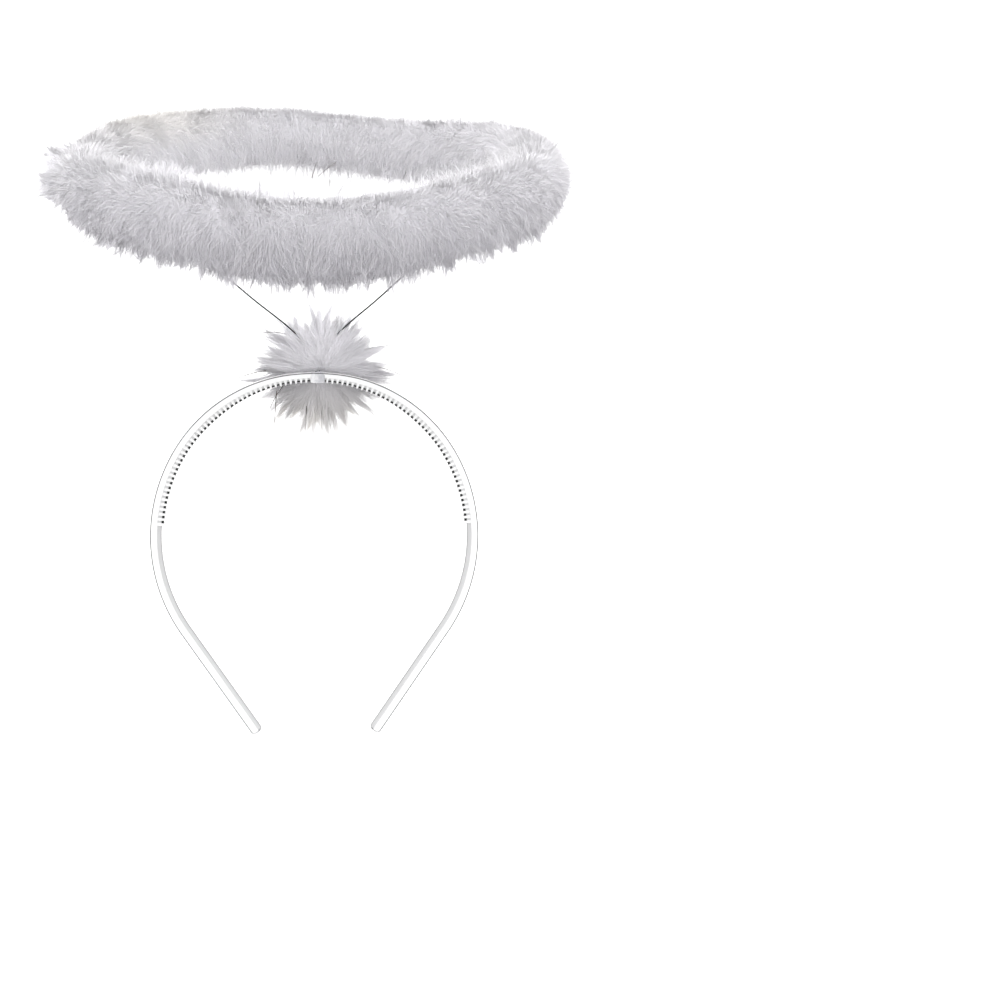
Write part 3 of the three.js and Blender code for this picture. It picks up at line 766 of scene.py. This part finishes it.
def ripple(angle, turn, seed):
    """A smooth field round the ring, about -1 to 1: a sum of sines of whole multiples of both
    angles, with phases that follow from the seed, kept within its limits by a hyperbolic tangent."""
    total = 0
    for number, (along, across) in enumerate([(17, 2), (-23, 3), (29, -1), (-38, -4), (47, 2), (8, 1)]):
        total = total + np.sin(along * angle + across * turn + 2.4 * seed + 1.7 * number * seed)
    return np.tanh(total / 2.6)


def lobe(angle, centre, sharpness):
    """1 at one angle of the ring, falling smoothly to 0 on both sides: a power of a cosine."""
    return np.maximum(np.cos(angle - centre), 0) ** sharpness


def ring_outward(angle, turn):
    """The direction straight out of the ring's tube: the cosine of the turn along the hoop's radius
    and its sine along the hoop's axis."""
    angle, turn = np.broadcast_arrays(angle, turn)
    out = np.cos(turn)
    return turned(np.stack([out * np.cos(angle), out * np.sin(angle), np.sin(turn)], axis=-1))


def ring_facing(angle, turn, front=FRONT_LEAN):
    """Where the down is lit from: outward, and partly to the front, as its loose tips turn that way,
    most along the upper edge of the ring's front and back."""
    lean = front + EDGE_LEAN * lobe(turn, 1.75, 3) * np.sin(angle) ** 4
    return unit(ring_outward(angle, turn) - lean[..., None] * np.array((0, 1.0, 0)))


def ring_warmth(angle, turn):
    """Cream in one soft patch on the left of the ring's back, a little everywhere else."""
    return 0.08 + 0.9 * lobe(angle, 2.45, 12) * lobe(turn, 1.5, 1)


def ring_tone_and_shade(angle, turn):
    """How bright the down is painted: whitest along the back and on top, greyer underneath by a sine,
    and lighter in a patch on the left of the back. This is painted light and shade.
    """
    back = smoothstep(0.5 + 0.9 * np.sin(angle))
    return 0.33 + 0.44 * back + 0.42 * np.sin(turn) + 0.3 * lobe(angle, 2.6, 5)


def ring_fullness(angle, turn):
    """How far the fluff's own length reaches: fullest in the middle of the front, where it sags,
    thinner towards the back and at the left end, where the boa's ends meet. Beside both ends of
    the front it sits higher: it swells into the ring's hole and is shorter below. The back is
    fuller underneath, on both sides of its middle."""
    front = lobe(angle, -math.pi / 2, 7)
    share = 0.87 + 0.11 * front - 0.07 * lobe(angle, math.pi / 2, 2) - 0.25 * lobe(angle, math.pi, 14)
    left, right = lobe(angle, -2.25, 10), lobe(angle, -0.85, 12)
    back_left, back_right = lobe(angle, 2.3, 12), lobe(angle, 0.8, 12)
    swell = ((4.2 * left + 3.2 * right) * lobe(turn, 1.9, 1)
             - (3.6 * left + 2.6 * right) * lobe(turn, -1.3, 1)
             + (2.4 * back_left + 2.0 * back_right) * lobe(turn, -2.0, 1))
    return RING_REACH * share - 1.6 * front * np.sin(turn) + swell


def ring_barbs(low, high, total):
    """Barbs of one stretch of the ring, from angle low to high, spread evenly over the tube by the
    golden section. They hang towards the ring's underside by a cosine of their turn, and besides
    lean where smooth fields send them, so that neighbours part and meet in soft locks."""
    index = np.arange(total) + 0.5
    angle = low + (high - low) * index / total + rng.normal(0, 0.006, total)
    turn = TAU * (index * GOLDEN_SHARE % 1) + rng.normal(0, 0.02, total)
    loose = rng.random(total) < LOOSE_SHARE
    full = ring_fullness(angle, turn)
    reach = full + 0.5 * ripple(angle, turn, 1) + np.where(loose, 1.2, 0.4) * rng.normal(size=total)
    reach = np.clip(reach, SHORTEST, LONGEST)
    lean = np.where(loose, 1.2, 0.35)[:, None] * rng.normal(size=(total, 2))
    tip_angle = angle + (1.6 * ripple(angle, turn, 2) + lean[:, 0]) / HOOP_RADIUS
    hang = -RING_HANG * (np.cos(turn + 0.48 * np.sin(angle)) - 0.38 * np.sin(angle))
    hang = hang * (1 - 0.8 * lobe(angle, math.pi, 8))
    tip_turn = turn + (hang + 0.9 * ripple(angle, turn, 3) + lean[:, 1]) / TUBE_AT_TIP
    base = BARB_ROOT * full
    root = ring_place(angle, turn, base)
    tip = ring_place(tip_angle, tip_turn, reach)
    middle = ring_place(mix(angle, tip_angle, 0.35), mix(turn, tip_turn, 0.35), mix(base, reach, 0.65))
    middle = middle + rng.normal(0, 0.15, middle.shape)
    width = 0.11 + 0.04 * rng.random(total)
    # painted light and shade of the ring, plus the barbs' own random tone
    tone_and_shade = ring_tone_and_shade(angle, turn) + 0.05 * ripple(angle, turn, 4) + 0.08 * rng.normal(size=total)
    outward = ring_facing(angle, mix(turn, tip_turn, 0.3))
    return root, middle, tip, width, outward, np.clip(tone_and_shade, 0, 1), ring_warmth(angle, turn)


def ring_haze(total):
    """The softest down: fine single hairs that stand a little out of the rest all round the ring,
    fewer the farther out, so that its outline fades away."""
    angle = math.pi * rng.uniform(-1, 1, total)
    turn = math.pi * rng.uniform(-1, 1, total)
    full = ring_fullness(angle, turn)
    reach = np.minimum(full + 0.3 + rng.exponential(2.2, total), LONGEST_HAZE)
    lean = 2.0 * rng.normal(size=(total, 2))
    tip_angle = angle + (2.0 * ripple(angle, turn, 2) + lean[:, 0]) / HOOP_RADIUS
    tip_turn = turn + (lean[:, 1] - 3.0 * np.cos(turn)) / TUBE_AT_TIP
    base = HAZE_ROOT * full
    root = ring_place(angle, turn, base)
    tip = ring_place(tip_angle, tip_turn, reach)
    middle = ring_place(mix(angle, tip_angle, 0.4), mix(turn, tip_turn, 0.4), mix(base, reach, 0.6))
    width = 0.12 + 0.04 * rng.random(total)
    # painted light: the fine hairs are made lighter than the down they stand out of
    tone_and_shade = np.clip(ring_tone_and_shade(angle, turn) + 0.2, 0, 1)
    return root, middle, tip, width, ring_facing(angle, turn), tone_and_shade, 0.1 + ring_warmth(angle, turn)


def ring_wisps():
    """Pointed locks that stand out of the ring. A lock's barbs start from a small round patch and
    meet at its tip. Most hang from the front's lower edge or fan out at the left end; fewer stand
    on the upper edges and reach into the hole."""
    parts = []
    for count, angle, angle_spread, turn, turn_spread, extra, extra_spread, each in WISP_GROUPS:
        centre_angle = angle + angle_spread * rng.uniform(-1, 1, count)
        centre_turn = turn + turn_spread * rng.uniform(-1, 1, count)
        long = ring_fullness(centre_angle, centre_turn) + extra + extra_spread * rng.normal(size=count)
        long = np.clip(long, SHORTEST_WISP, LONGEST_WISP)
        lean = rng.normal(0, 1.9, (count, 2))
        lean[:, 0] += 2.0 * ripple(centre_angle, centre_turn, 2)
        size = rng.uniform(0.6, 1.4, count)
        parts.append([np.repeat(v, each, axis=0) for v in (centre_angle, centre_turn, long, lean, size)])
    centre_angle, centre_turn, long, lean, size = (np.concatenate(v) for v in zip(*parts))
    total = len(long)
    spread = rng.normal(0, 1, (total, 2)) * size[:, None]
    angle = centre_angle + spread[:, 0] / HOOP_RADIUS
    turn = centre_turn + spread[:, 1] / TUBE_AT_ROOT
    gather = rng.uniform(0.03, 0.22, (total, 1)) * spread
    tip_angle = centre_angle + (gather[:, 0] + lean[:, 0]) / HOOP_RADIUS
    tip_turn = centre_turn + (gather[:, 1] + lean[:, 1]) / TUBE_AT_WISP_TIP
    reach = long - 0.5 * np.abs(rng.normal(size=total))
    root = ring_place(angle, turn, WISP_ROOT)
    tip = ring_place(tip_angle, tip_turn, reach)
    middle = ring_place(mix(angle, tip_angle, 0.25), mix(turn, tip_turn, 0.25), mix(WISP_ROOT, reach, 0.5))
    width = 0.11 + 0.05 * rng.random(total)
    # painted light: the locks are made lighter than the down they stand out of, with their own random tone
    tone_and_shade = np.clip(ring_tone_and_shade(angle, turn) + 0.3 + 0.12 * rng.normal(size=total), 0, 1)
    facing = ring_facing(angle, turn, WISP_FRONT_LEAN)
    return root, middle, tip, width, facing, tone_and_shade, ring_warmth(angle, turn)


def make_ring_core(material):
    """The dense down near the hoop: a tube whose surface waves gently."""
    angle = np.arange(CORE_ROWS)[:, None] * TAU / CORE_ROWS
    turn = np.arange(CORE_SIDES)[None, :] * TAU / CORE_SIDES
    reach = CORE_SHARE * ring_fullness(angle, turn) + 0.6 * ripple(angle, turn, 1)
    points = ring_place(angle, turn, reach).reshape(-1, 3)
    # painted light and shade of the ring on its core
    looks = {"along": np.zeros(len(points)), "tone_and_shade": ring_tone_and_shade(angle, turn),
             "warm": ring_warmth(angle, turn)}
    made = mesh_object("ring_core", points, grid_quads(CORE_ROWS, CORE_SIDES, wrap_rows=True), [],
                       material, looks, ring_facing(angle, turn).reshape(-1, 3))
    return finish_piece(made, "fluff")


# The tuft's down

TUFT_ROOT, TUFT_SHORTEST, TUFT_LONGEST = 5, 8, 31
TUFT_CORE, TUFT_CORE_BACK, TUFT_CORE_ROWS, TUFT_CORE_SIDES = 8, 2.5, 24, 36
TUFT_LOCKS, BARBS_PER_TUFT_LOCK, BARBS_PER_LONG_LOCK = 420, 78, 80
NEAREST_SOFTNESS = 2.0
NEAREST = np.array([  # height, how far back the nearest down lies
    (48, 2), (55, 3), (60, 4.5), (65, 4.5), (67, 3.4),
    (70, 2.8), (76, 2.9), (80, 4.5), (85, 8.5), (96, 8.5),
])
LONG_LOCKS = np.array([  # tip's x, tip's z, how far back it is, how far the middle is pushed aside
    (-9.0, 91.0, 12, 1.5), (-2.2, 94.5, 13, -1.2), (2.2, 91.0, 12, 0.8), (8.6, 94.5, 13, 2.2),
    (-18.5, 81.5, 11, -1.2), (-20.5, 76.5, 10, 1.0), (15.0, 88.5, 12, -1.2), (21.5, 84.0, 11, 1.4),
    (30.0, 75.3, 9, 1.2), (24.5, 73.0, 9, -1.0), (33.5, 63.6, 9, 1.2), (29.0, 67.0, 9, -1.2),
    (-31.5, 61.6, 9, 1.2), (-26.5, 65.5, 9, -1.0), (-3.4, 39.8, 7, 1.0), (-17.2, 43.5, 6, -1.4),
    (1.5, 43.5, 7, -0.8), (12.5, 43.5, 7, 1.2), (17.0, 47.0, 7, -1.4), (-11.0, 45.0, 7, 1.0),
])
SHAFT_ROWS, SHAFT_SIDES, SHAFT_BACK_BOW = 9, 5, 1.5
SHAFT_ROOT_RADIUS, SHAFT_TIP_RADIUS = 0.21, 0.11
SHAFTS = np.array([  # root's x and z, tip's x and z, how far back it is, how far its middle is raised
    (-12.4, 60.0, -17.8, 51.0, 1.0, 0.6), (-15.0, 58.0, -16.2, 43.6, 2.0, -0.9),
    (-3.0, 52.0, -3.8, 40.5, 2.0, 0.5), (20.0, 74.0, 31.0, 75.6, 5, 0.5),
    (22.0, 67.5, 35.0, 63.8, 5, 0.7), (-19.0, 66.0, -32.5, 62.0, 5, 0.5),
    (-10.0, 80.0, -21.0, 80.8, 6, 0.8), (9.9, 151.5, 2.2, 145.4, 66, 0.3),
    (-0.6, 144.6, 1.6, 151.4, 66, -0.2), (7.2, 144.0, 7.3, 137.6, 66, 0.1),
    (37.0, 154.5, 44.0, 146.8, 66, -0.5), (41.0, 149.3, 38.2, 143.4, 66, -0.2),
    (-14.3, 108.0, -14.8, 98.8, -84, 0.3), (22.5, 111.5, 28.2, 105.4, -84, 0.3),
])


def behind_band(points):
    """Pushes the tuft's points back: behind the band, a little forward of the wires just over it,
    and behind the wires higher up. The nearest points are drawn out by an exponential."""
    x, y, z = points[..., 0], points[..., 1], points[..., 2]
    soft = NEAREST_SOFTNESS
    nearest = np.interp(z, NEAREST[:, 0], NEAREST[:, 1])
    past = y - nearest - soft
    y = np.where(past < 0, nearest + soft * np.exp(np.minimum(past, 0) / soft), y)
    return np.stack([x, y, z], axis=-1)


def tuft_barbs(clumps, each):
    """The tuft's barbs: locks spread evenly over a ball by the golden angle. Those at the rim, seen
    from the front, are each drawn together to a curved point; the others lie loose and make its
    soft face."""
    index = np.arange(clumps) + 0.5
    height = 1 - 2 * index / clumps
    turn = index * math.pi * (3 - math.sqrt(5))
    flat = np.sqrt(1 - height ** 2)
    way = np.stack([flat * np.cos(turn), flat * np.sin(turn), height], axis=-1)
    way = unit(way + rng.normal(0, 0.1, way.shape))
    rim = smoothstep((np.hypot(way[:, 0], way[:, 2]) - 0.55) / 0.35)
    sideways = np.abs(way[:, 0]) ** 3
    low = sideways ** 2 * np.exp(-((way[:, 2] + 0.05) / 0.25) ** 2)
    long = 20.5 + 2.9 * rng.normal(size=clumps) + 2.0 * sideways + 1.5 * np.abs(way[:, 2]) + 7.0 * low
    drawn = np.clip(mix(0.15, 0.82, rim) + 0.1 * rng.normal(size=clumps), 0.05, 0.95)
    who = np.repeat(np.arange(clumps), each)
    total = len(who)
    loose = rng.random(total) < 0.22
    own = unit(way[who] + rng.normal(0, 0.16, (total, 3)))
    pull = np.where(loose, 0.1, drawn[who])
    tip_way = unit(mix(own, way[who], pull[:, None]))
    reach = long[who] * np.where(loose, 0.8, 1.0) * (1 + 0.08 * rng.normal(size=total))
    reach = np.clip(reach, TUFT_SHORTEST, TUFT_LONGEST)
    bend = rng.normal(0, 1, (clumps, 3)) * mix(0.8, 3.2, rim)[:, None]
    bend = bend[who]
    root = TUFT_CENTRE + own * TUFT_ROOT
    tip = TUFT_CENTRE + tip_way * reach[:, None] + bend + rng.normal(0, 0.35, (total, 3))
    middle = mix(root, tip, 0.5) - 0.3 * bend + rng.normal(0, 0.3, (total, 3))
    width = 0.13 + 0.05 * rng.random(total)
    warm = 0.08 + 0.6 * np.clip(-own[:, 2], 0, 1)
    # painted shade: barbs whose tips lie below the band's top edge are greyer, those above lighter
    above = smoothstep((tip[:, 2] + tip[:, 0] ** 2 / 125 - BAND_TOP + 1) / 3)
    tone_and_shade = 0.33 + 0.5 * above + 0.08 * rng.normal(size=clumps)[who] + 0.1 * rng.normal(size=total)
    facing = unit(own * (0.4, 1, 0.4) - (0, 0.15, 0))
    tone_and_shade = np.clip(tone_and_shade, 0, 1)
    return behind_band(root), behind_band(middle), behind_band(tip), width, facing, tone_and_shade, warm


def tuft_locks(each):
    """Long curled locks at the tuft's rim, one to a row of the table. Each narrows from a round patch
    to its tip, with its middle pushed aside."""
    end = LONG_LOCKS[:, [0, 2, 1]]
    ahead = end - TUFT_CENTRE
    aside = unit(np.cross(ahead, (0, 1, 0))) * LONG_LOCKS[:, 3:4]
    who = np.repeat(np.arange(len(LONG_LOCKS)), each)
    total = len(who)
    across = rng.normal(0, 1.7, (total, 3))
    root = TUFT_CENTRE + 0.35 * ahead[who] + across
    tip = end[who] + 0.16 * across - 0.05 * rng.exponential(1, (total, 1)) * ahead[who]
    middle = mix(root, tip, 0.55) + aside[who] - 0.15 * across
    width = 0.12 + 0.05 * rng.random(total)
    warm = 0.08 + 0.9 * np.clip(-unit(ahead)[who, 2], 0, 1)
    # painted shade: locks that point downward are greyer than those that point up
    tone_and_shade = np.clip(np.where(ahead[who, 2] > 0, 0.7, 0.35) + 0.1 * rng.normal(size=total), 0, 1)
    facing = unit(unit(ahead)[who] * (0.4, 1, 0.4) - (0, 0.5, 0))
    return behind_band(root), behind_band(middle), behind_band(tip), width, facing, tone_and_shade, warm


def make_feather_shafts(material):
    """Single dark feather shafts: thin round hairs that narrow along a line from root to tip, whose
    middle is raised by a sine."""
    root_x, root_z, tip_x, tip_z, back, raised = SHAFTS.T[:, :, None]
    t = np.linspace(0, 1, SHAFT_ROWS)[None, :]
    centre = np.stack([mix(root_x, tip_x, t), back + SHAFT_BACK_BOW * t,
                       mix(root_z, tip_z, t) + raised * np.sin(math.pi * t)], axis=-1)
    ahead = unit(SHAFTS[:, 2:4] - SHAFTS[:, 0:2])
    across = np.stack([-ahead[:, 1], 0 * ahead[:, 0], ahead[:, 0]], axis=-1)
    turn = (np.arange(SHAFT_SIDES) * TAU / SHAFT_SIDES)[:, None]
    section = across[:, None] * np.cos(turn) + np.array((0, 1.0, 0)) * np.sin(turn)
    radius = mix(SHAFT_ROOT_RADIUS, SHAFT_TIP_RADIUS, t)[..., None, None]
    points = centre[:, :, None] + radius * section[:, None]
    count = len(SHAFTS)
    each = np.concatenate([points.reshape(count, -1, 3), centre[:, [0, -1]]], axis=1)
    first = np.arange(count)[:, None, None] * each.shape[1]
    quads = (grid_quads(SHAFT_ROWS, SHAFT_SIDES)[None] + first).reshape(-1, 4)
    triangles = (fans(SHAFT_ROWS, SHAFT_SIDES)[None] + first).reshape(-1, 3)
    made = mesh_object("feather_shafts", each.reshape(-1, 3), quads, triangles, material)
    return finish_piece(made, "fluff")


def make_tuft_core(material):
    """The dense down in the middle of the tuft: a ball of rings with a wavy surface."""
    rows, sides = TUFT_CORE_ROWS, TUFT_CORE_SIDES
    rise = (np.arange(rows)[:, None] + 0.5) / rows * math.pi
    turn = np.arange(sides)[None, :] * TAU / sides
    out = np.sin(rise)
    way = np.stack([out * np.cos(turn), out * np.sin(turn), np.cos(rise) + 0 * turn], axis=-1)
    wave = TUFT_CORE + 0.6 * np.sin(5 * turn + 4 * rise) + 0.5 * np.sin(7 * rise - 3 * turn)
    way = np.concatenate([way.reshape(-1, 3), [(0, 0, 1.0), (0, 0, -1.0)]])
    radius = np.append(wave.ravel(), [TUFT_CORE] * 2)[:, None]
    points = behind_band(TUFT_CENTRE + way * radius) + (0, TUFT_CORE_BACK, 0)
    flat = np.zeros(len(points))
    looks = {"along": flat, "tone_and_shade": flat + 0.5, "warm": flat + 0.05}
    made = mesh_object("tuft_core", points, grid_quads(rows, sides), fans(rows, sides), material,
                       looks, way)
    return finish_piece(made, "fluff")


# Floor and world

def make_floor(material):
    """A flat square under the part."""
    half = FLOOR_HALF
    corners = [(-half, -half, 0), (half, -half, 0), (half, half, 0), (-half, half, 0)]
    mesh = bpy.data.meshes.new("floor")
    mesh.from_pydata(corners, [], [(0, 1, 2, 3)])
    mesh.materials.append(material)
    made = bpy.data.objects.new("floor", mesh)
    bpy.context.scene.collection.objects.link(made)


def make_world():
    """Even white light from all sides."""
    world = bpy.data.worlds.new("world")
    world.use_nodes = True
    background = world.node_tree.nodes["Background"]
    background.inputs["Color"].default_value = rgb(1.0, 1.0, 1.0)
    background.inputs["Strength"].default_value = 1.0
    bpy.context.scene.world = world


# The whole scene, in the order of its random draws

make_camera()
bpy.context.scene.view_settings.view_transform = "Standard"
bpy.context.scene.cycles.diffuse_bounces = 8

plastic = plastic_material()
steel = wire_material()
down = fluff_material("marabou_down")

make_band(plastic)
make_teeth(plastic)
make_gap_shade_web(plastic)
make_collar(glue_material())
make_tube("left_stem", stem_path(-1), WIRE_DIAMETER / 2, steel, "wire", "left_stem_wire")
make_tube("right_stem", stem_path(1), WIRE_DIAMETER / 2, steel, "wire", "right_stem_wire")
hoop_turn = np.arange(240) * TAU / 240
hoop_path = ring_place(hoop_turn, 0.0, 0.0)
make_tube("hoop", hoop_path, WIRE_DIAMETER / 2, steel, "wire", "hoop_wire", closed=True)
make_ring_core(down)
make_fluff("ring_wisps", ring_wisps(), down)
make_fluff("ring_haze", ring_haze(HAZE_BARBS), down)
quarters = ("ring_fluff_right", "ring_fluff_back", "ring_fluff_left", "ring_fluff_front")
for number, name in enumerate(quarters):
    start = number * math.pi / 2 - math.pi / 4
    nodes = ("halo_fluff",) if number == 3 else ()
    make_fluff(name, ring_barbs(start, start + math.pi / 2, BARBS_PER_QUARTER), down, *nodes)
make_tuft_core(down)
make_fluff("tuft_fluff", tuft_barbs(TUFT_LOCKS, BARBS_PER_TUFT_LOCK), down, "tuft")
make_fluff("tuft_locks", tuft_locks(BARBS_PER_LONG_LOCK), down)
make_feather_shafts(shaft_material())
make_floor(floor_material())
make_world()
area_light("large_soft_light", LIGHT_SPOT, LIGHT_TARGET, LIGHT_SIZE, LIGHT_POWER)
